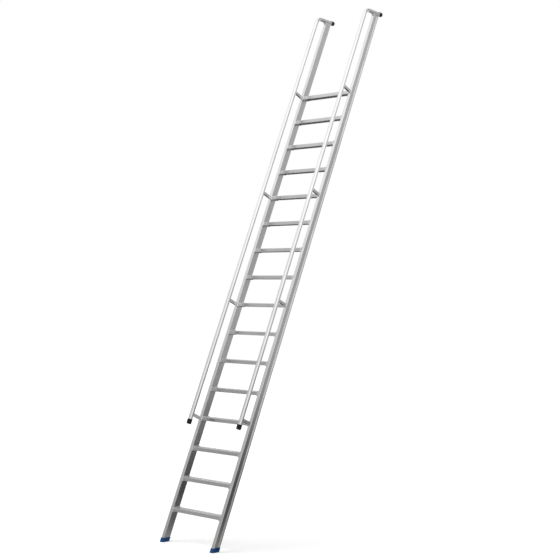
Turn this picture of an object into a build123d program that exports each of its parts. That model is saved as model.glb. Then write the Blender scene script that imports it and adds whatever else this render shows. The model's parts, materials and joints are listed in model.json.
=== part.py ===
from build123d import *
import os
from math import cos, radians, sin, tan

# Leaning step ladder, in millimetres. +Z is up, +Y points at the wall that it leans on,
# and +X is the climber's right. The origin is on the floor, midway between the two feet.

# Overall layout
lean_angle = 68
tread_count = 16
tread_pitch = 280
first_tread = 272
clear_width = 570

# Stile: a hollow box section with a shallow recess along its outer side
stile_depth = 70
stile_width = 32
stile_wall = 2
stile_corner = 3
stile_lip = 11
recess_depth = 8

# Tread: a hollow extrusion with two chambers and a ribbed top
tread_depth = 80
tread_height = 33
tread_wall = 2
tread_corner = 3
rib_height = 1.2
rib_width = 3
rib_count = 9

# End bracket: a cast plate on the stile's inner face, a rim larger than the tread, with two hollow tenons
bracket_thickness = 10
bracket_rim = 4
bracket_corner = 4
bracket_edge = 3
tenon_length = 30
tenon_wall = 3
tenon_clearance = 0.2

# Handrail: a tube parallel to the stile, bent over the stile's top into a level crossbar
rail_diameter = 38
rail_wall = 2
rail_offset = 119
rail_start = 1045
rail_bend_radius = 70
crossbar_height = 5011
rail_overhang = 42

# Handrail strut: a rectangular tube from the stile's front face to the handrail
strut_treads = (4, 8, 12, 16)
strut_height = 25
strut_width = 20
strut_wall = 2
strut_above_tread = 20
plug_length = 30
plug_clearance = 0.05

# Handrail end cap
cap_diameter = 44
cap_length = 40
cap_end_wall = 4
cap_edge = 3

# Saddle between the crossbar and the top of the stile
saddle_width = 28
saddle_seat = 4
saddle_wrap = 10
lug_drop = 6
lug_thickness = 4
lug_radius = 11
tongue_thickness = 8
tongue_length = 60
tongue_clearance = 1
tongue_rivet_drops = (25, 47)

# Shoe on the foot of the stile
shoe_wall = 3.5
shoe_height = 36
shoe_toe = 16
shoe_sole = 8
shoe_edge = 1.5
groove_count = 4
groove_width = 4
groove_depth = 2
shoe_rivet_distance = 52

# Fasteners
screw_radius = 3
screw_head_radius = 5.5
screw_head_height = 3
screw_tail = 6
rivet_radius = 2.5
rivet_head_radius = 4.5
rivet_head_height = 1.5
rivet_depth = 6
bolt_radius = 4
bolt_head_flats = 13
bolt_head_height = 5.3
bolt_depth = 20
washer_radius = 8
washer_thickness = 1.6
hole_clearance = 0.05
bolt_clearance = 0.25

# Values worked out from the dimensions above
lean = radians(lean_angle)
tread_numbers = range(1, tread_count + 1)
web_face = clear_width / 2
rail_x = web_face + stile_width / 2
rail_radius = rail_diameter / 2
level_depth = stile_depth / sin(lean)
stile_run = crossbar_height / sin(lean)
tread_inside = tread_height - rib_height - 2 * tread_wall
chamber_span = (tread_depth - 3 * tread_wall) / 2
chamber_height = tread_wall + tread_inside / 2
chamber_depths = [tread_wall + chamber_span / 2 + k * (chamber_span + tread_wall) for k in range(2)]
along_stile = Vector(0, cos(lean), sin(lean))
across_stile = Vector(0, sin(lean), -cos(lean))
along_crossbar = Vector(0, 1, 0)
front_foot = Vector(0, -level_depth / 2, 0)


def front_y(height):
    """Y of the stiles' front plane at a height above the floor."""
    return front_foot.Y + height / tan(lean)


# Local frame of the leaning stiles: X across, Y rearwards from the front faces, Z up along the stile
leaning = Plane(origin=front_foot, x_dir=(1, 0, 0), z_dir=along_stile)

# Local frame of the crossbars: X across, Y rearwards along the bar's axis from the stiles' front plane
crossing = Plane(origin=(0, front_y(crossbar_height), crossbar_height))
stile_top = -rail_radius - saddle_seat


def tread_distance(number):
    """Distance along the stile from the floor to a tread, counted from the floor up."""
    return first_tread + (number - 1) * tread_pitch


def tread_corner_point(number):
    """Front lower edge of a tread: its upper front edge is flush with the stiles' front plane."""
    base = tread_distance(number) * sin(lean)
    return Vector(0, front_y(base + tread_height), base)


def to_left(shape):
    """The left-hand twin of a right-hand piece."""
    return mirror(shape, about=Plane.YZ)


def block(low, high):
    """A box between two opposite corners."""
    size = [b - a for a, b in zip(low, high)]
    return Pos(*low) * Box(*size, align=(Align.MIN, Align.MIN, Align.MIN))


def rod(start, direction, radius, length):
    """A round bar from a point along a direction."""
    seat = Plane(origin=start, z_dir=direction)
    return seat * Cylinder(radius, length, align=(Align.CENTER, Align.CENTER, Align.MIN))


def dome(start, direction, radius, height):
    """A low fastener head: a spherical cap on a flat seat."""
    ball = (radius ** 2 + height ** 2) / (2 * height)
    cap = Pos(0, 0, height - ball) * Sphere(ball)
    cap = cap & rod((0, 0, 0), (0, 0, 1), radius, height)
    return Plane(origin=start, z_dir=direction) * cap


def above_floor(shape, height):
    """The part of a shape above a height from the floor."""
    return shape & block((-stile_run, -stile_run, height), (stile_run, stile_run, 2 * stile_run))


def below_crossbar(shape, level):
    """The part of a shape below a level in the crossbars' frame."""
    return shape & crossing * block((-stile_run, -stile_run, -2 * stile_run), (stile_run, stile_run, level))


# Fastener places on the right-hand side
def screw_seats(number):
    """Points on the stile's inner face where a tread's end bracket is screwed on."""
    corner = tread_corner_point(number)
    return [corner + Vector(web_face, depth, chamber_height) for depth in chamber_depths]


def strut_distances():
    """Distances along the stile of the strut axes."""
    return [tread_distance(number) + strut_above_tread for number in strut_treads]


def on_axis(depth, distance):
    """A point in the stile's middle plane: its depth from the front face, its distance along the stile."""
    return leaning.from_local_coords(Vector(rail_x, depth, distance))


def crossing_front(level):
    """Y of the stiles' front plane in the crossbars' frame."""
    return level / tan(lean)


def tongue_seats():
    """Points on the stile's inner face where the saddle's tongue is riveted."""
    seats = []
    for rivet_drop in tongue_rivet_drops:
        level = stile_top - rivet_drop
        middle = crossing_front(level) + level_depth / 2
        seats.append(crossing.from_local_coords(Vector(web_face, middle, level)))
    return seats


# Stile
def box_outline(grown):
    """Outer rectangle of the stile's section, larger all round by a distance."""
    return RectangleRounded(stile_width + 2 * grown, stile_depth + 2 * grown, stile_corner + grown)


def recess_outline(grown):
    """The recess in the outer side of that rectangle."""
    length = stile_depth - 2 * (stile_lip + grown)
    return Pos(stile_width / 2 + grown, 0) * Rectangle(2 * recess_depth, length)


def along_leaning(outline):
    """A section drawn about the stile's middle, extruded along the right-hand stile."""
    middle = Pos(rail_x, stile_depth / 2, -stile_depth)
    return leaning * extrude(middle * outline, stile_run + stile_depth)


def stile_bar():
    """The stile's extrusion before it is cut to length."""
    outer = box_outline(0) - recess_outline(0)
    hollow = box_outline(-stile_wall) - recess_outline(-stile_wall)
    return along_leaning(outer - hollow)


def stile():
    bar = below_crossbar(above_floor(stile_bar(), shoe_sole), stile_top)
    into_hollow = (1, 0, 0)
    holes = [rod(p, into_hollow, rivet_radius + hole_clearance, stile_wall) for p in tongue_seats()]
    for number in tread_numbers:
        holes += [rod(p, into_hollow, screw_radius + hole_clearance, stile_wall) for p in screw_seats(number)]
    for distance in strut_distances():
        holes.append(rod(on_axis(0, distance), across_stile, bolt_radius + bolt_clearance, stile_depth))
    shoe_rivet = on_axis(stile_depth, shoe_rivet_distance)
    holes.append(rod(shoe_rivet, -across_stile, rivet_radius + hole_clearance, stile_wall))
    return bar - holes


# Tread
def tread_chambers(clearance):
    """The two hollows of the tread's section, smaller all round by a clearance."""
    cell = Rectangle(chamber_span - 2 * clearance, tread_inside - 2 * clearance)
    return [Pos(depth, chamber_height) * cell for depth in chamber_depths]


def tread_section():
    """Hollow section with its front lower corner at the origin, ribs on top."""
    body_height = tread_height - rib_height
    section = Pos(tread_depth / 2, body_height / 2) * RectangleRounded(tread_depth, body_height, tread_corner)
    step = tread_depth / rib_count
    rib = Rectangle(rib_width, 2 * rib_height)
    for number in range(rib_count):
        section += Pos((number + 0.5) * step, body_height) * rib
    return section - tread_chambers(0)


def tread_rivet_point(number):
    """Underside of the tread, below the middle of the right-hand rear tenon."""
    tenon_middle = web_face - bracket_thickness - tenon_length / 2
    return tread_corner_point(number) + Vector(tenon_middle, chamber_depths[1], 0)


def tread(number):
    half = web_face - bracket_thickness
    bar = extrude(Plane.YZ * tread_section(), half, both=True)
    bar = Pos(*tread_corner_point(number)) * bar
    hole = rod(tread_rivet_point(number), (0, 0, 1), rivet_radius + hole_clearance, tread_wall)
    return bar - [hole, to_left(hole)]


# Tread end bracket
def end_bracket(number):
    corner = tread_corner_point(number)
    low, high = corner.Z - bracket_rim, corner.Z + tread_height + bracket_rim
    rear = corner.Y + tread_depth + bracket_rim
    front_low, front_high = front_y(low) - bracket_rim, front_y(high) - bracket_rim
    outline = Polygon((front_low, low), (rear, low), (rear, high), (front_high, high), align=None)
    outline = fillet(outline.vertices(), bracket_corner)
    plate = Pos(web_face - bracket_thickness, 0, 0) * extrude(Plane.YZ * outline, bracket_thickness)
    plate = fillet(plate.faces().sort_by(Axis.X)[0].edges(), bracket_edge)
    tenons = Sketch() + tread_chambers(tenon_clearance)
    tenons -= tread_chambers(tenon_clearance + tenon_wall)
    tenons = extrude(Plane.YZ * tenons, tenon_length)
    start = corner + Vector(web_face - bracket_thickness - tenon_length, 0, 0)
    bracket = plate + Pos(*start) * tenons
    into_plate = (-1, 0, 0)
    seats = screw_seats(number)
    holes = [rod(p, into_plate, screw_radius + hole_clearance, bracket_thickness) for p in seats]
    rivet_seat = tread_rivet_point(number)
    holes.append(rod(rivet_seat, (0, 0, 1), rivet_radius + hole_clearance, tread_wall + rivet_depth))
    return bracket - holes


def bracket_screw(seat):
    """Pan-head screw from inside a tenon through the bracket into the stile's inner wall."""
    under_head = seat - Vector(bracket_thickness, 0, 0)
    shank = rod(under_head, (1, 0, 0), screw_radius, bracket_thickness + stile_wall + screw_tail)
    return shank + dome(under_head, (-1, 0, 0), screw_head_radius, screw_head_height)


def tread_rivet(number):
    """Blind rivet from below through the tread's lower wall into the tenon."""
    seat = tread_rivet_point(number)
    shank = rod(seat, (0, 0, 1), rivet_radius, tread_wall + rivet_depth)
    return shank + dome(seat, (0, 0, -1), rivet_head_radius, rivet_head_height)


# Handrail
rail_foot = on_axis(-rail_offset, rail_start)
rail_corner = crossing.from_local_coords(Vector(rail_x, -rail_offset / sin(lean), 0))
rail_end = crossing.from_local_coords(Vector(rail_x, level_depth + rail_overhang, 0))


def handrail():
    path = FilletPolyline(rail_foot, rail_corner, rail_end, radius=rail_bend_radius)
    ring = Circle(rail_radius) - Circle(rail_radius - rail_wall)
    return sweep(Plane(origin=rail_foot, z_dir=along_stile) * ring, path)


def end_cap(tube_end, into_tube):
    """Moulded cap pushed over the end of the tube."""
    cup = Cylinder(cap_diameter / 2, cap_length, align=(Align.CENTER, Align.CENTER, Align.MIN))
    cup = fillet(cup.edges().filter_by(GeomType.CIRCLE), cap_edge)
    cup -= rod((0, 0, cap_end_wall), (0, 0, 1), rail_radius, cap_length)
    return Plane(origin=tube_end - into_tube * cap_end_wall, z_dir=into_tube) * cup


# Handrail strut
def strut_box(width, height, start, distance):
    """A box along the strut's axis, from a depth in front of the stile to its front face."""
    low = (rail_x - width / 2, start, distance - height / 2)
    high = (rail_x + width / 2, 0, distance + height / 2)
    return leaning * block(low, high)


def strut(distance):
    outer = strut_box(strut_width, strut_height, -rail_offset, distance)
    inner = strut_box(strut_width - 2 * strut_wall, strut_height - 2 * strut_wall, -rail_offset, distance)
    below = on_axis(-rail_offset, distance - strut_height)
    return outer - inner - rod(below, along_stile, rail_radius, 2 * strut_height)


def strut_plug(distance):
    gap = 2 * (strut_wall + plug_clearance)
    plug = strut_box(strut_width - gap, strut_height - gap, -plug_length, distance)
    return plug - rod(on_axis(0, distance), -across_stile, bolt_radius + hole_clearance, bolt_depth)


def strut_washer(distance):
    seat = on_axis(stile_depth, distance)
    ring = rod(seat, across_stile, washer_radius, washer_thickness)
    return ring - rod(seat, across_stile, bolt_radius + bolt_clearance, washer_thickness)


def strut_bolt(distance):
    """Hexagon bolt from behind, through the stile into the strut's plug."""
    seat = on_axis(stile_depth + washer_thickness, distance)
    hexagon = RegularPolygon(bolt_head_flats / 2, 6, major_radius=False)
    head = extrude(Plane(origin=seat, z_dir=across_stile) * hexagon, bolt_head_height)
    return head + rod(seat, -across_stile, bolt_radius, washer_thickness + stile_depth + bolt_depth)


# Saddle on the top of the stile, built in the crossbars' frame
def saddle():
    lug_base = stile_top - lug_drop
    front = crossing_front(lug_base) - lug_thickness
    rear = crossing_front(lug_base) + level_depth + lug_thickness
    low = (rail_x - saddle_width / 2, front - lug_radius, lug_base)
    high = (rail_x + saddle_width / 2, rear + lug_radius, -saddle_wrap)
    seat = block(low, high)
    for hollow_y in (front - lug_radius, rear + lug_radius):
        seat -= rod(Vector(web_face, hollow_y, lug_base), (1, 0, 0), lug_radius, stile_width)
    seat -= rod(Vector(rail_x, -stile_run, 0), (0, 1, 0), rail_radius, 2 * stile_run)
    seat = crossing * seat
    inside = (web_face, 0, 0)
    outside = (web_face + stile_width, stile_depth, 2 * stile_run)
    seat -= below_crossbar(leaning * block(inside, outside), stile_top)
    tongue_low = (web_face + stile_wall, stile_wall + tongue_clearance, 0)
    tongue_high = (tongue_low[0] + tongue_thickness, stile_depth - tongue_low[1], 2 * stile_run)
    tongue = below_crossbar(leaning * block(tongue_low, tongue_high), stile_top)
    tongue -= below_crossbar(tongue, stile_top - tongue_length)
    holes = [rod(p, (1, 0, 0), rivet_radius + hole_clearance, stile_width) for p in tongue_seats()]
    return seat + (tongue - holes)


def double_rivet(seat, direction, grip):
    """Rivet with a head at each end of its grip."""
    rivet = rod(seat, direction, rivet_radius, grip)
    rivet += dome(seat, -direction, rivet_head_radius, rivet_head_height)
    return rivet + dome(seat + direction * grip, direction, rivet_head_radius, rivet_head_height)


# Shoe
def shoe():
    body = above_floor(along_leaning(box_outline(shoe_wall)), 0)
    body -= above_floor(body, shoe_height)
    rim = body.edges().filter_by(lambda edge: edge.center().Z > shoe_height - shoe_edge)
    body = fillet(rim, shoe_edge)
    body -= above_floor(along_leaning(recess_outline(shoe_wall)), shoe_toe)
    body -= above_floor(stile_bar(), shoe_sole)
    sole_depth = level_depth + 2 * shoe_wall / sin(lean)
    step = sole_depth / (groove_count + 1)
    for number in range(groove_count):
        middle = -sole_depth / 2 + (number + 1) * step
        low = (web_face - stile_width, middle - groove_width / 2, 0)
        high = (web_face + 2 * stile_width, middle + groove_width / 2, groove_depth)
        body -= block(low, high)
    rear_face = on_axis(stile_depth + shoe_wall, shoe_rivet_distance)
    inner_face = on_axis(stile_depth - stile_wall, shoe_rivet_distance)
    body -= rod(rear_face, -across_stile, rivet_radius + hole_clearance, shoe_wall)
    return body - rod(inner_face, -across_stile, rivet_head_radius + hole_clearance, rivet_depth)


# Writing the nodes
def write(node, *solids):
    """One node: a single solid, or a group of separate solids."""
    shape = solids[0] if len(solids) == 1 else Compound(children=list(solids))
    shape.label = node
    export_step(shape, f"parts/{node}.step")
    print(node, len(solids), "solids", round(sum(s.volume for s in solids)), "mm3")


def both_sides(node, shape):
    """A right-hand piece and its left-hand twin, each in its own node."""
    write(f"{node}_right", shape)
    write(f"{node}_left", to_left(shape))


os.makedirs("parts", exist_ok=True)

both_sides("stile", stile())
for number in tread_numbers:
    write(f"tread_{number:02d}", tread(number))

brackets = [end_bracket(number) for number in tread_numbers]
write("tread_end_brackets_right", *brackets)
write("tread_end_brackets_left", *[to_left(b) for b in brackets])
screws = [bracket_screw(seat) for number in tread_numbers for seat in screw_seats(number)]
write("bracket_screws_right", *screws)
write("bracket_screws_left", *[to_left(s) for s in screws])
rivets = [tread_rivet(number) for number in tread_numbers]
write("tread_rivets", *rivets, *[to_left(r) for r in rivets])

both_sides("handrail", handrail())
both_sides("handrail_lower_cap", end_cap(rail_foot, along_stile))
both_sides("handrail_upper_cap", end_cap(rail_end, -along_crossbar))

for number, distance in enumerate(strut_distances(), 1):
    one_strut = strut(distance)
    write(f"handrail_strut_right_{number}", one_strut)
    write(f"handrail_strut_left_{number}", to_left(one_strut))
for node, make in (("strut_plugs", strut_plug), ("strut_washers", strut_washer), ("strut_bolts", strut_bolt)):
    right = [make(distance) for distance in strut_distances()]
    write(node, *right, *[to_left(piece) for piece in right])

both_sides("top_saddle", saddle())
saddle_grip = stile_wall + tongue_thickness
saddle_rivets = [double_rivet(seat, Vector(1, 0, 0), saddle_grip) for seat in tongue_seats()]
write("saddle_rivets", *saddle_rivets, *[to_left(r) for r in saddle_rivets])

both_sides("foot", shoe())
shoe_face = on_axis(stile_depth + shoe_wall, shoe_rivet_distance)
foot_rivet = double_rivet(shoe_face, -across_stile, shoe_wall + stile_wall)
write("foot_rivets", foot_rivet, to_left(foot_rivet))
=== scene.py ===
# %% [markdown]
# A leaning step ladder of aluminium, for warehouses and building sites. Two hollow stiles carry sixteen flat
# treads, and a bent tube on struts runs along each stile as a handrail. The solids arrive already built and at
# their real size, so this lesson gives them their finishes, adds the small made details, and lights them.

# %% Load the solids
import json
from math import atan2, cos, pi, radians, sin, sqrt, tau

import bmesh
import bpy
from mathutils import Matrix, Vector


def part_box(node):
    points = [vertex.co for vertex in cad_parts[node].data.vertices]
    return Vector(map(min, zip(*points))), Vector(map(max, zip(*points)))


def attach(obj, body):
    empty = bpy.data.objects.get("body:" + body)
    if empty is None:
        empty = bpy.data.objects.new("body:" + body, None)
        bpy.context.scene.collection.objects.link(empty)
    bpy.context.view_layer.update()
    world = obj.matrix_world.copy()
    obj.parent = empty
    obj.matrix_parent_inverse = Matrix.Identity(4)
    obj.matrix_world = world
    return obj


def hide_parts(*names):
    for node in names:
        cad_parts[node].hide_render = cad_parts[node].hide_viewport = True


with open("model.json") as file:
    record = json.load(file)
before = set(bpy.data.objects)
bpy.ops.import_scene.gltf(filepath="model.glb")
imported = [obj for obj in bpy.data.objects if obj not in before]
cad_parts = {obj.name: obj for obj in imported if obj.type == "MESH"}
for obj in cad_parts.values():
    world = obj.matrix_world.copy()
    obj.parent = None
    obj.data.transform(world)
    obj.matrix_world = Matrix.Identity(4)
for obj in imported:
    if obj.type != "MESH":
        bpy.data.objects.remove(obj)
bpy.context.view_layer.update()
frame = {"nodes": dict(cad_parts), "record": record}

nodes = frame["nodes"]

# %% [markdown]
# The camera stands to the front right of the ladder, at about eye height. Its place and lens could be found by
# eye. Here they come from fitting the lines of the treads and stiles, because a ladder is all long straight
# lines and shows every small error of perspective.

# %% Camera
camera_data = bpy.data.cameras.new("camera")
camera_data.sensor_width = 36.0
camera_data.lens = 72.733
camera = bpy.data.objects.new("camera", camera_data)
camera.location = (6.8821, -6.8820, 1.9247)
camera.rotation_euler = (radians(92.197), radians(-1.961), radians(40.818))
bpy.context.collection.objects.link(camera)
bpy.context.scene.camera = camera
bpy.context.scene.view_settings.view_transform = "Standard"
print("camera", round(camera.location.length, 2), "m from the feet")

# %% [markdown]
# Materials are built from nodes. Writing out every node and link hides the idea of a finish, so this small
# class keeps a material's tree and adds one node a call: a value that is a socket is linked, any other is set.


# %% A helper that builds node materials
class Finish:
    """A node material that is put together a step at a time."""

    def __init__(self, name):
        self.material = bpy.data.materials.new(name)
        self.material.use_nodes = True
        self.tree = self.material.node_tree
        self.shader = self.tree.nodes["Principled BSDF"]

    def put(self, node, name, value):
        """Sets an input, or links it if the value is another node's output."""
        socket = node.inputs[name]
        if isinstance(value, bpy.types.NodeSocket):
            self.tree.links.new(value, socket)
        else:
            socket.default_value = value

    def surface(self, **values):
        """Inputs of the surface shader, written with _ for a space."""
        for name, value in values.items():
            self.put(self.shader, name.replace("_", " "), value)

    def add(self, kind, settings=None, **values):
        """A new node. Settings are its menu choices, values its inputs."""
        node = self.tree.nodes.new("ShaderNode" + kind)
        for name, value in (settings or {}).items():
            setattr(node, name, value)
        for name, value in values.items():
            self.put(node, name.replace("_", " "), value)
        return node

    def place(self, lean=0.0, size=(1, 1, 1)):
        """Object coordinates, tilted back by a lean, with a texture of this size along each axis."""
        where = self.add("TexCoord").outputs["Object"]
        tilt = (-lean, 0, 0)
        mapping = self.add("Mapping", {"vector_type": "TEXTURE"}, Vector=where, Rotation=tilt, Scale=size)
        return mapping.outputs["Vector"]

    def height(self):
        """Height above the floor."""
        return self.add("SeparateXYZ", Vector=self.place()).outputs["Z"]

    def facing_back(self):
        """How far the surface faces the rear: 1 there, -1 on faces to the front."""
        normal = self.add("TexCoord").outputs["Normal"]
        return self.add("SeparateXYZ", Vector=normal).outputs["Y"]

    def noise(self, where, detail=3.0, roughness=0.5):
        """Smooth random values about 0.5."""
        texture = self.add("TexNoise", Vector=where, Scale=1.0, Detail=detail, Roughness=roughness)
        return texture.outputs["Fac"]

    def spread(self, value, low, high, to_low=0.0, to_high=1.0):
        """Maps a range of values to another range, held at its ends."""
        limits = {"From_Min": low, "From_Max": high, "To_Min": to_low, "To_Max": to_high}
        return self.add("MapRange", {"clamp": True}, Value=value, **limits).outputs["Result"]

    def blend(self, share, first, second):
        """A mix of two colours."""
        node = self.add("Mix", {"data_type": "RGBA"})
        for index, value in ((0, share), (6, first), (7, second)):
            self.put(node, index, value)
        return node.outputs[2]

    def work(self, operation, first, second):
        """Arithmetic on two values."""
        node = self.add("Math", {"operation": operation})
        self.put(node, 0, first)
        self.put(node, 1, second)
        return node.outputs[0]

    def relief(self, height, depth):
        """Bump of this depth in metres, sent to the surface."""
        bump = self.add("Bump", Height=height, Strength=1.0, Distance=depth)
        self.surface(Normal=bump.outputs["Normal"])


def shade(red, green, blue):
    return (red, green, blue, 1.0)


print("finish helper ready")

# %% [markdown]
# The studio is a white room. What the camera and mirrored rays see behind the ladder is pure white, while the
# light that falls on the ladder from all round is weaker, so that matt pieces keep their form.

# %% World
FILL = 0.5
world = bpy.data.worlds.new("studio")
world.use_nodes = True
sky = world.node_tree
sky.nodes.clear()
path = sky.nodes.new("ShaderNodeLightPath")
seen = path.outputs["Is Camera Ray"]
for name in ("Is Glossy Ray", "Is Transmission Ray"):
    either = sky.nodes.new("ShaderNodeMath")
    either.operation = "MAXIMUM"
    sky.links.new(seen, either.inputs[0])
    sky.links.new(path.outputs[name], either.inputs[1])
    seen = either.outputs[0]
level = sky.nodes.new("ShaderNodeMapRange")
level.inputs["To Min"].default_value = FILL
level.inputs["To Max"].default_value = 1.0
sky.links.new(seen, level.inputs["Value"])
backdrop = sky.nodes.new("ShaderNodeBackground")
backdrop.inputs["Color"].default_value = shade(1, 1, 1)
sky.links.new(level.outputs["Result"], backdrop.inputs["Strength"])
out = sky.nodes.new("ShaderNodeOutputWorld")
sky.links.new(backdrop.outputs[0], out.inputs["Surface"])
bpy.context.scene.world = world
print("world ready")

# %% [markdown]
# The floor is a wide sheet of pale paper. It keeps a soft shadow under the feet, and a little light of its own,
# for the camera alone, brings it up to the white of the room so that no horizon shows.

# %% Floor


def stage_mesh(name, points, faces, finish):
    """A mesh of the studio, which isn't part of the ladder."""
    mesh = bpy.data.meshes.new(name)
    mesh.from_pydata(points, [], faces)
    mesh.materials.append(finish)
    obj = bpy.data.objects.new(name, mesh)
    bpy.context.collection.objects.link(obj)
    return obj


def circle(radius, count, height=0.0):
    """Points round the Z axis."""
    angles = [tau * k / count for k in range(count)]
    return [Vector((radius * cos(angle), radius * sin(angle), height)) for angle in angles]


paper = Finish("floor_paper")
grain = paper.noise(paper.place(size=(0.4, 0.4, 0.4)), detail=2)
paper.surface(
    Base_Color=paper.blend(grain, shade(0.78, 0.78, 0.78), shade(0.82, 0.82, 0.82)),
    Roughness=0.9,
    Specular_IOR_Level=0.0,
    Emission_Color=shade(1, 1, 1),
    Emission_Strength=paper.spread(paper.add("LightPath").outputs["Is Camera Ray"], 0, 1, 0, 0.42),
)
FLOOR_RADIUS = 40.0
FLOOR_SIDES = 96
FLOOR_GAP = 0.0005
rim = circle(FLOOR_RADIUS, FLOOR_SIDES, -FLOOR_GAP)
floor = stage_mesh("floor", rim, [range(FLOOR_SIDES)], paper.material)
floor.visible_glossy = False
print("floor", 2 * FLOOR_RADIUS, "m across")

# %% [markdown]
# Bare metal has no colour of its own to speak of: it shows its surroundings. In an empty white room it would
# vanish, so a round card stands about the ladder that only mirrored rays see. Its brightness is drawn for eight
# directions, as a value on the floor near the ladder and a curve up the wall, and blends smoothly between them.
# The card stands closer at the front left, which lets the tone change along the length of the stiles. It is far
# off at the rear left, where the treads mirror it at a low angle: their tops catch the wall, their undersides
# the floor.

# %% Card that the metal mirrors
CARD_CENTRE = Vector((3.4, 4.6, 0))
CARD_RADIUS = 10.0
CARD_BULGE = 20.0
BULGE_TURN = radians(135)
CARD_HEIGHT = 25.0
CARD_SIDES = 72
FLOOR_RINGS = 12
WALL_RINGS = 50
LADDER_FOOT = Vector((0, 0.6, 0))
# Direction in degrees from +X, brightness of the floor near the ladder, and of the wall at heights in metres
LOBES = (
    (0, 0.25, ((0, 0.38), (3, 0.50), (5, 0.80), (7, 1.08), (10, 1.18), (15, 1.25))),
    (45, 0.02, ((0, 0.34), (1, 0.50), (2, 0.45), (3, 0.36), (6, 0.40), (9.5, 0.46), (12, 0.28), (25, 0.25))),
    (90, 0.10, ((0, 0.45), (3, 0.92), (7, 1.15), (13, 1.18), (16, 0.50), (25, 0.40))),
    (135, 0.05, ((0, 0.05), (1.5, 0.08), (2.1, 1.05), (15, 1.12))),
    (180, 0.25, ((0, 0.40), (2, 0.70), (6, 0.90), (15, 1.05))),
    (225, 0.40, ((0, 0.34), (1.2, 0.36), (2.2, 0.53), (4, 0.60), (5.5, 0.84), (8.5, 1.14), (15, 1.20))),
    (270, 0.42, ((0, 0.40), (4, 0.56), (6.5, 0.75), (8, 1.00), (10, 1.15), (15, 1.20))),
    (315, 0.30, ((0, 0.50), (4, 0.96), (6.4, 1.18), (10, 1.24), (15, 1.25))),
)


def on_curve(curve, at):
    """A value on a curve of straight lines, held at its ends."""
    for (low, first), (high, second) in zip(curve, curve[1:]):
        if at <= high:
            return first + (second - first) * max(0.0, at - low) / (high - low)
    return curve[-1][1]


def apart(turn, other):
    """The angle between two directions."""
    return abs((turn - other + pi) % tau - pi)


def card_glow(place, floor_share):
    """Brightness of the card. The share runs from 0 at the ladder's foot to 1 at the wall."""
    away = place - LADDER_FOOT
    turn = atan2(away.y, away.x)
    total = 0.0
    for degrees, near, curve in LOBES:
        weight = cos(min(pi / 2, 2 * apart(turn, radians(degrees)))) ** 2
        wall = on_curve(curve, place.z)
        total += weight * (near + (wall - near) * floor_share ** 2)
    return total


foot_line = []
for p in circle(1.0, CARD_SIDES):
    bulge = CARD_BULGE * cos(min(pi / 2, 2 * apart(atan2(p.y, p.x), BULGE_TURN))) ** 2
    foot_line.append(CARD_CENTRE + p * (CARD_RADIUS + bulge))
rows = []
for ring in range(1, FLOOR_RINGS + 1):
    share = ring / FLOOR_RINGS
    rows += [(LADDER_FOOT.lerp(p, share), share) for p in foot_line]
for ring in range(1, WALL_RINGS + 1):
    rise = Vector((0, 0, CARD_HEIGHT * ring / WALL_RINGS))
    rows += [(p + rise, 1.0) for p in foot_line]
faces = []
for ring in range(FLOOR_RINGS + WALL_RINGS - 1):
    for k in range(CARD_SIDES):
        here, beside = ring * CARD_SIDES + k, ring * CARD_SIDES + (k + 1) % CARD_SIDES
        faces.append((here, beside, beside + CARD_SIDES, here + CARD_SIDES))
faces.append(range(CARD_SIDES))

grade = Finish("graded_grey")
glow = grade.add("Attribute", {"attribute_name": "glow"}).outputs["Fac"]
grade.surface(
    Base_Color=shade(0, 0, 0),
    Specular_IOR_Level=0.0,
    Emission_Color=shade(1, 1, 1),
    Emission_Strength=glow,
)
card = stage_mesh("graded_card", [place for place, share in rows], faces, grade.material)
card.location.z = -4 * FLOOR_GAP
brightness = card.data.attributes.new("glow", "FLOAT", "POINT")
brightness.data.foreach_set("value", [card_glow(*row) for row in rows])
for kind in ("camera", "diffuse", "shadow", "transmission", "volume_scatter"):
    setattr(card, "visible_" + kind, False)
print("card of", len(rows), "points,", CARD_HEIGHT, "m high")

# %% [markdown]
# One broad lamp from the upper left front gives the plastic pieces a lit side and the floor its shadow. It is
# kept out of reflections, where its disc would show as a hard spot on the tubes.

# %% Lamp
lamp_data = bpy.data.lights.new("key_lamp", "SUN")
lamp_data.angle = radians(50)
lamp_data.energy = 1.5
lamp = bpy.data.objects.new("key_lamp", lamp_data)
lamp.rotation_euler = Vector((0.5, 0.55, -0.8)).to_track_quat("-Z", "Y").to_euler()
lamp.visible_glossy = False
bpy.context.collection.objects.link(lamp)
print("one broad lamp")

# %% [markdown]
# Stiles, treads and tubes are extruded or drawn. The die leaves very fine lines along the length, with faint
# clouds where the metal has dulled and a few rubbed patches. A noise stretched a few hundred times along the
# bar gives those lines without any image, and it has to follow the bar: the stiles lean, the treads lie level.
# The stiles also go a darker brown-grey at the bottom: partly floor dust, partly painted shade for the dark
# floor that the bare metal mirrors. It fades with the height and where the surface faces the front.

# %% Drawn aluminium
LEAN = radians(90 - 68)
CLOUD_SIZE = (0.22, 0.22, 0.3)
RUB_SIZE = (0.05, 0.05, 0.09)
LINE_DEPTH = 0.00004
# Brown-grey of floor dust and of painted shade, laid on the stiles low down
DUST_AND_SHADE = shade(0.24, 0.225, 0.20)
DUST_AND_SHADE_HEIGHTS = (0.4, 2.2)


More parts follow.
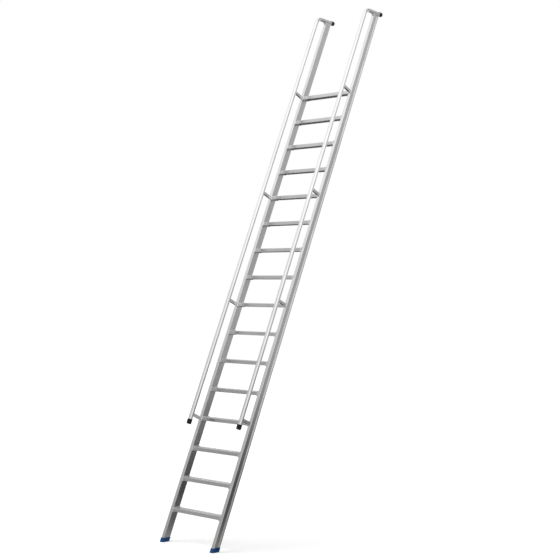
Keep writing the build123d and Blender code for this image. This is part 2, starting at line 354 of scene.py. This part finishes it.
def drawn_aluminium(name, dull, bright, lines, lean, rough, shade_and_dust=0.0):
    """Extruded or drawn metal: lines sized per axis, clouds, rubbed patches, dust and painted shade low down.
    """
    metal = Finish(name)
    fine = metal.noise(metal.place(lean, lines), detail=4, roughness=0.65)
    cloud = metal.noise(metal.place(size=CLOUD_SIZE), detail=4, roughness=0.6)
    rubbed = metal.spread(metal.noise(metal.place(size=RUB_SIZE), detail=5), 0.56, 0.72)
    tone = metal.work("ADD", metal.work("MULTIPLY", fine, 0.45), metal.work("MULTIPLY", cloud, 0.55))
    gloss = metal.spread(tone, 0.3, 0.7, rough + 0.07, rough - 0.05)
    clean = metal.blend(metal.spread(tone, 0.3, 0.7), dull, bright)
    # Painted shade with some dust: the colour goes darker brown-grey towards the floor, except on faces to the
    # front
    above = metal.work("ADD", metal.height(), cloud)
    away = metal.spread(metal.facing_back(), -0.8, -0.3)
    dust_and_shade_share = metal.work("MULTIPLY", metal.spread(above, *DUST_AND_SHADE_HEIGHTS, shade_and_dust, 0.0), away)
    metal.surface(
        Base_Color=metal.blend(dust_and_shade_share, clean, DUST_AND_SHADE),
        Metallic=1.0,
        Roughness=metal.work("ADD", gloss, metal.work("MULTIPLY", rubbed, 0.06)),
    )
    metal.relief(fine, LINE_DEPTH)
    return metal


LINE = 0.0009
LINE_LENGTH = 0.35
UPRIGHT_LINES = (LINE, LINE, LINE_LENGTH)
stile_finish = drawn_aluminium(
    "stile_drawn", shade(0.68, 0.685, 0.68), shade(0.82, 0.825, 0.82), UPRIGHT_LINES, LEAN, 0.25, shade_and_dust=0.55,
)
rail_finish = drawn_aluminium(
    "rail_drawn", shade(0.74, 0.75, 0.75), shade(0.86, 0.86, 0.86), UPRIGHT_LINES, LEAN, 0.2,
)
tread_finish = drawn_aluminium(
    "tread_drawn", shade(0.70, 0.71, 0.70), shade(0.84, 0.845, 0.835), (LINE_LENGTH, LINE, LINE), 0.0, 0.26,
)
print("three drawn finishes")

# %% [markdown]
# End brackets and saddles are die-cast, with a fine grain and no lines. Screws, bolts and rivets are
# zinc-plated, the tube caps are black moulded plastic, and the shoes a blue moulded rubber. All of them are a
# grain with soft clouds, at a different size and depth, so one function makes them all.

# %% Cast, plated and moulded skins
SKIN_CLOUD = 0.03


def grained(name, dark, light, grain_size, depth, rough, metallic=1.0):
    """A cast or moulded skin: fine grain, soft cloudiness."""
    skin = Finish(name)
    pits = skin.noise(skin.place(size=(grain_size,) * 3), detail=2)
    cloud = skin.noise(skin.place(size=(SKIN_CLOUD,) * 3), detail=4)
    tone = skin.work("ADD", skin.work("MULTIPLY", pits, 0.4), skin.work("MULTIPLY", cloud, 0.6))
    skin.surface(
        Base_Color=skin.blend(skin.spread(tone, 0.3, 0.7), dark, light),
        Metallic=metallic,
        Specular_IOR_Level=0.25,
        Roughness=skin.spread(tone, 0.3, 0.7, rough + 0.06, rough - 0.06),
    )
    skin.relief(pits, depth)
    return skin


cast_finish = grained("cast_skin", shade(0.66, 0.67, 0.675), shade(0.80, 0.805, 0.81), 0.0011, 0.00012, 0.36)
zinc_finish = grained("zinc_plate", shade(0.50, 0.50, 0.49), shade(0.66, 0.66, 0.66), 0.0006, 0.00002, 0.34)
BLACK = shade(0.006, 0.006, 0.007), shade(0.014, 0.014, 0.015)
BLUE = shade(0.002, 0.048, 0.17), shade(0.006, 0.080, 0.25)
cap_finish = grained("cap_moulded", *BLACK, 0.0007, 0.00006, 0.5, metallic=0.0)
shoe_finish = grained("shoe_moulded", *BLUE, 0.0009, 0.00008, 0.45, metallic=0.0)
print("four grained finishes")

# %% [markdown]
# On a real ladder the stock decides the finish: one extrusion for both stiles, one for all treads, drawn tube
# for the handrails and struts. The record already sorts the solids into such slots, so each slot gets one
# finish and every solid takes its slot's, rather than being painted by hand.

# %% Finishes on the solids
finish_of_slot = {
    "stile_aluminium": stile_finish,
    "tread_aluminium": tread_finish,
    "cast_bracket": cast_finish,
    "rail_tube": rail_finish,
    "black_plastic": cap_finish,
    "blue_shoe": shoe_finish,
    "fastener_steel": zinc_finish,
}
slot_of_node = {part["node"]: part["material_slot"] for part in frame["record"]["subparts"]}
for node, slot in slot_of_node.items():
    mesh = nodes[node].data
    mesh.materials.clear()
    mesh.materials.append(finish_of_slot[slot].material)
print("finishes on", len(slot_of_node), "solids")

# %% [markdown]
# The fasteners are plain in the solids. Their heads are turned or pressed parts, so a lathe suits them: a
# profile of radii and heights, spun round an axis, with a radius that may change with the angle where a head is
# hexagonal or has a cross recess. Each new fastener sits where its solid is, read from the solid's own points.

# %% Helpers for turned pieces


def islands(node):
    """The corner points of each separate solid in a node."""
    form = bmesh.new()
    form.from_mesh(nodes[node].data)
    bmesh.ops.remove_doubles(form, verts=form.verts, dist=1e-6)
    found = set()
    groups = []
    for start in form.verts:
        if start in found:
            continue
        found.add(start)
        group = [start]
        for corner in group:
            for edge in corner.link_edges:
                other = edge.other_vert(corner)
                if other not in found:
                    found.add(other)
                    group.append(other)
        groups.append([corner.co.copy() for corner in group])
    form.free()
    return groups


def span(points, axis):
    """The middle of a piece across an axis, and where it starts and ends along it."""
    run = [point.dot(axis) for point in points]
    flat = [point - axis * along for point, along in zip(points, run)]
    middle = [(min(p[k] for p in flat) + max(p[k] for p in flat)) / 2 for k in range(3)]
    return Vector(middle), min(run), max(run)


def lathe(form, profile, seat, axis, steps=24):
    """A closed turned body on a seat: radii and heights along the axis, from its middle to its middle."""
    turn = axis.to_track_quat("Z", "Y")
    rings = []
    for radius, height in profile:
        ring = []
        for k in range(steps if radius else 1):
            angle = tau * k / steps
            reach = radius(angle) if callable(radius) else radius
            local = Vector((reach * cos(angle), reach * sin(angle), height))
            ring.append(form.verts.new(seat + turn @ local))
        rings.append(ring)
    for low, high in zip(rings, rings[1:]):
        for k in range(steps):
            after = k + 1
            loop = (low[k % len(low)], low[after % len(low)], high[after % len(high)], high[k % len(high)])
            form.faces.new(list(dict.fromkeys(loop)))


def piece(name, build, finish, slot, *replaced):
    """A piece that is fixed to the ladder, made by a function that fills a bmesh."""
    mesh = bpy.data.meshes.new(name)
    form = bmesh.new()
    build(form)
    bmesh.ops.recalc_face_normals(form, faces=form.faces)
    for face in form.faces:
        face.smooth = True
    form.to_mesh(mesh)
    form.free()
    mesh.set_sharp_from_angle(angle=radians(38))
    mesh.materials.append(finish.material)
    obj = bpy.data.objects.new(name, mesh)
    bpy.context.collection.objects.link(obj)
    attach(obj, "root")
    if replaced:
        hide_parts(*replaced)
    print(name, len(mesh.vertices), "points")
    return obj


# %% [markdown]
# Blind rivets have a low dome with a dimple, where the mandrel has snapped off. Those through the saddles and
# shoes have a head at each end.

# %% Rivets
DOME = (
    (1.0, 0.0), (1.0, 0.2), (0.94, 0.5), (0.8, 0.8), (0.56, 0.97),
    (0.36, 1.0), (0.31, 0.94), (0.27, 0.45), (0, 0.45),
)
RIVET_RADIUS = 0.0025
RIVET_HEAD = (0.0045, 0.0015)
head = [(RIVET_HEAD[0] * radius, RIVET_HEAD[1] * height) for radius, height in DOME]


def rivets(node, axis, two_heads):
    """A function that makes all rivets of a node, with their heads at the end of an axis."""

    def build(form):
        for points in islands(node):
            middle, start, end = span(points, axis)
            seat = end - RIVET_HEAD[1]
            length = seat - start
            if two_heads:
                grip = length - RIVET_HEAD[1]
                profile = [(radius, -grip - height) for radius, height in reversed(head)]
                profile += [(RIVET_RADIUS, -grip), (RIVET_RADIUS, 0.0)] + head
            else:
                profile = [(0, -length), (RIVET_RADIUS, -length), (RIVET_RADIUS, 0.0)] + head
            lathe(form, profile, middle + axis * seat, axis)

    return build


SIDEWAYS = Vector((1, 0, 0))
DOWN = Vector((0, 0, -1))
BACK = Vector((0, cos(LEAN), -sin(LEAN)))
for node, axis, two_heads in (
    ("tread_rivets", DOWN, False), ("saddle_rivets", SIDEWAYS, True), ("foot_rivets", BACK, True),
):
    piece(node + "_domed", rivets(node, axis, two_heads), zinc_finish, "fastener_steel", node)

# %% [markdown]
# The end brackets are held by pan-head screws with a cross recess, driven from inside the bracket's hollow
# tenons before the tread is pushed on. The recess is a ring whose radius follows the outline of a cross.

# %% Screws
SCREW_RADIUS = 0.003
SCREW_HEAD = (0.0055, 0.003)
TIP_CHAMFER = 0.001
CROSS_ARM = 0.0027
CROSS_HALF_WIDTH = 0.0007


def cross(scale):
    """Radius of a cross-shaped outline at an angle."""

    def radius(angle):
        from_arm = abs((angle + pi / 4) % (pi / 2) - pi / 4)
        reach = CROSS_ARM / cos(from_arm)
        if from_arm > 0:
            reach = min(reach, CROSS_HALF_WIDTH / sin(from_arm))
        return scale * reach

    return radius


def screws(node, axis):
    """A function that makes all screws of a node, with their heads at the end of an axis."""

    def build(form):
        for points in islands(node):
            middle, start, end = span(points, axis)
            wide, tall = SCREW_HEAD
            seat = end - tall
            tip = start - seat
            profile = (
                (0, tip), (0.6 * SCREW_RADIUS, tip), (SCREW_RADIUS, tip + TIP_CHAMFER), (SCREW_RADIUS, 0.0),
                (wide, 0.0), (wide, 0.3 * tall), (0.93 * wide, 0.7 * tall), (0.75 * wide, 0.94 * tall),
                (0.6 * wide, tall), (cross(1.0), tall), (cross(0.7), 0.35 * tall), (0, 0.3 * tall),
            )
            lathe(form, profile, middle + axis * seat, axis, steps=48)

    return build


for side, axis in (("left", SIDEWAYS), ("right", -SIDEWAYS)):
    node = "bracket_screws_" + side
    piece(node + "_turned", screws(node, axis), zinc_finish, "fastener_steel", node)

# %% [markdown]
# Each strut is held by a long bolt from behind, right through the stile. A bolt's hexagonal head is chamfered
# round its top, which the lathe gives by going from a hexagon to a circle.

# %% Bolts
BOLT_RADIUS = 0.004
HEAD_FLATS = 0.013
HEAD_HEIGHT = 0.0053


def hexagon(angle):
    """Radius of the bolt's hexagon at an angle."""
    from_flat = (angle + pi / 6) % (pi / 3) - pi / 6
    return HEAD_FLATS / 2 / cos(from_flat)


def bolts(form):
    for points in islands("strut_bolts"):
        middle, start, end = span(points, BACK)
        seat = end - HEAD_HEIGHT
        tip = start - seat
        profile = (
            (0, tip), (0.8 * BOLT_RADIUS, tip), (BOLT_RADIUS, tip + TIP_CHAMFER), (BOLT_RADIUS, 0.0),
            (hexagon, 0.0), (hexagon, 0.88 * HEAD_HEIGHT), (0.47 * HEAD_FLATS, HEAD_HEIGHT), (0, HEAD_HEIGHT),
        )
        lathe(form, profile, middle + BACK * seat, BACK)


piece("strut_bolts_hexagon", bolts, zinc_finish, "fastener_steel", "strut_bolts")

# %% [markdown]
# The tube caps are moulded cups. A real one is drafted a little, has a thicker rim at its mouth where it grips
# the tube, and a small dimple in the middle of its end, where the plastic came into the mould.

# %% Tube caps
UP_STILE = Vector((0, sin(LEAN), cos(LEAN)))
FORWARD = Vector((0, -1, 0))
CAP_RADIUS = 0.022
CAP_BORE = 0.0191
CAP_FLOOR = 0.004
CAP_EDGE = 0.003
CAP_LENGTH = 0.04
DRAFT = 0.0005
DIMPLE_MOUTH, DIMPLE_FLOOR, DIMPLE_DEPTH = 0.003, 0.0022, 0.0008
RIM_LENGTH = 0.0065
RIM_STEP = 0.001
RIM_CHAMFER = 0.0012
EDGE_STEPS = 4
body = CAP_RADIUS - DRAFT
turns = [pi / 2 * k / EDGE_STEPS for k in range(EDGE_STEPS + 1)]
edge = [(body - CAP_EDGE * (1 - sin(turn)), CAP_EDGE * (1 - cos(turn))) for turn in turns]
cap_profile = [(0, DIMPLE_DEPTH), (DIMPLE_FLOOR, DIMPLE_DEPTH), (DIMPLE_MOUTH, 0.0)] + edge + [
    (body, CAP_LENGTH - RIM_LENGTH - RIM_STEP), (CAP_RADIUS, CAP_LENGTH - RIM_LENGTH),
    (CAP_RADIUS, CAP_LENGTH - RIM_CHAMFER), (CAP_RADIUS - RIM_CHAMFER, CAP_LENGTH),
    (CAP_BORE, CAP_LENGTH), (CAP_BORE, CAP_FLOOR), (0, CAP_FLOOR),
]


def cap(node, axis):
    """A function that makes a cap whose closed end is at the start of an axis."""

    def build(form):
        middle, start, end = span(islands(node)[0], axis)
        lathe(form, cap_profile, middle + axis * start, axis, steps=48)

    return build


for place, axis in (("lower", UP_STILE), ("upper", FORWARD)):
    for side in ("left", "right"):
        node = f"handrail_{place}_cap_{side}"
        piece(node + "_moulded", cap(node, axis), cap_finish, "black_plastic", node)

# %% [markdown]
# Struts and saddles are welded to the tube. A weld bead runs round the joint, on the curve where a box meets a
# cylinder, with the small even ripples of a bead laid by hand. A path of evenly spaced points on the tube gives
# the curve, and a ring at each point, a little larger and smaller in turn, gives the ripples.

# %% Weld beads
TUBE_RADIUS = 0.019
BEAD = 0.0022
BEAD_SIDES = 8
RIPPLE = 4
RIPPLE_HEIGHT = 0.12
CORNER = 0.0025
STEP = 0.0007


def rounded_outline(half_width, half_length):
    """A closed path round a rectangle with round corners."""
    path = []
    quarters = ((1, 1), (-1, 1), (-1, -1), (1, -1))
    for quarter, (to_side, to_end) in enumerate(quarters):
        centre = Vector((to_side * (half_width - CORNER), to_end * (half_length - CORNER)))
        for k in range(7):
            angle = pi / 2 * (quarter + k / 6)
            path.append(centre + CORNER * Vector((cos(angle), sin(angle))))
    return path


def even_points(path):
    """Evenly spaced points on a closed path, a whole number of ripples."""
    legs = list(zip(path, path[1:] + path[:1]))
    length = sum((b - a).length for a, b in legs)
    count = RIPPLE * round(length / STEP / RIPPLE)
    points = []
    gone = 0.0
    for a, b in legs:
        leg = (b - a).length
        while len(points) < count and len(points) * length / count <= gone + leg:
            points.append(a.lerp(b, (len(points) * length / count - gone) / leg))
        gone += leg
    return points


def weld(form, centre, axis, toward, half_width, half_length):
    """A closed bead on a tube: its axis, the direction of the welded piece, and that piece's half sizes."""
    side = axis.cross(toward)
    outline = even_points(rounded_outline(half_width, half_length))
    outs = [(side * u + toward * sqrt(TUBE_RADIUS ** 2 - u ** 2)).normalized() for u, v in outline]
    spots = [centre + axis * v + out * TUBE_RADIUS for (u, v), out in zip(outline, outs)]
    rings = []
    for k, (spot, out) in enumerate(zip(spots, outs)):
        onward = (spots[(k + 1) % len(spots)] - spots[k - 1]).normalized()
        across = onward.cross(out)
        size = BEAD * (1 + RIPPLE_HEIGHT * cos(tau * k / RIPPLE))
        turns = [tau * j / BEAD_SIDES for j in range(BEAD_SIDES)]
        rings.append([form.verts.new(spot + size * (out * cos(t) + across * sin(t))) for t in turns])
    for ring, after in zip(rings, rings[1:] + rings[:1]):
        for j in range(BEAD_SIDES):
            beside = (j + 1) % BEAD_SIDES
            form.faces.new((ring[j], ring[beside], after[beside], after[j]))


# %% [markdown]
# A strut's end is cut to the curve of the tube and welded all round. The bead could be placed by measuring the
# drawing. Here it is read from each strut's own solid, so it stays on the joint if the strut moves.

# %% Welds of the struts
STRUT_HALF = (0.010, 0.0125)
weld_finish = grained("weld_bead", shade(0.66, 0.67, 0.67), shade(0.80, 0.80, 0.80), 0.0008, 0.0001, 0.36)


def strut_welds(form):
    for side in ("left", "right"):
        for number in range(1, 5):
            middle, start, end = span(islands(f"handrail_strut_{side}_{number}")[0], BACK)
            tube = middle + BACK * (start - sqrt(TUBE_RADIUS ** 2 - STRUT_HALF[0] ** 2))
            weld(form, tube, UP_STILE, BACK, *STRUT_HALF)


piece("strut_welds", strut_welds, weld_finish, "rail_tube")

# %% [markdown]
# The saddle cradles the level crossbar from below, and its bead runs along both sides and round the two ends.
# The same function makes it, with the bar's axis level and the saddle below.

# %% Welds of the saddles
SADDLE_HALF_WIDTH = 0.014


def saddle_welds(form):
    for side in ("left", "right"):
        low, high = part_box("top_saddle_" + side)
        tube = (low + high) / 2
        tube.z = high.z + sqrt(TUBE_RADIUS ** 2 - SADDLE_HALF_WIDTH ** 2)
        weld(form, tube, -FORWARD, DOWN, SADDLE_HALF_WIDTH, (high.y - low.y) / 2)


piece("saddle_welds", saddle_welds, weld_finish, "cast_bracket")
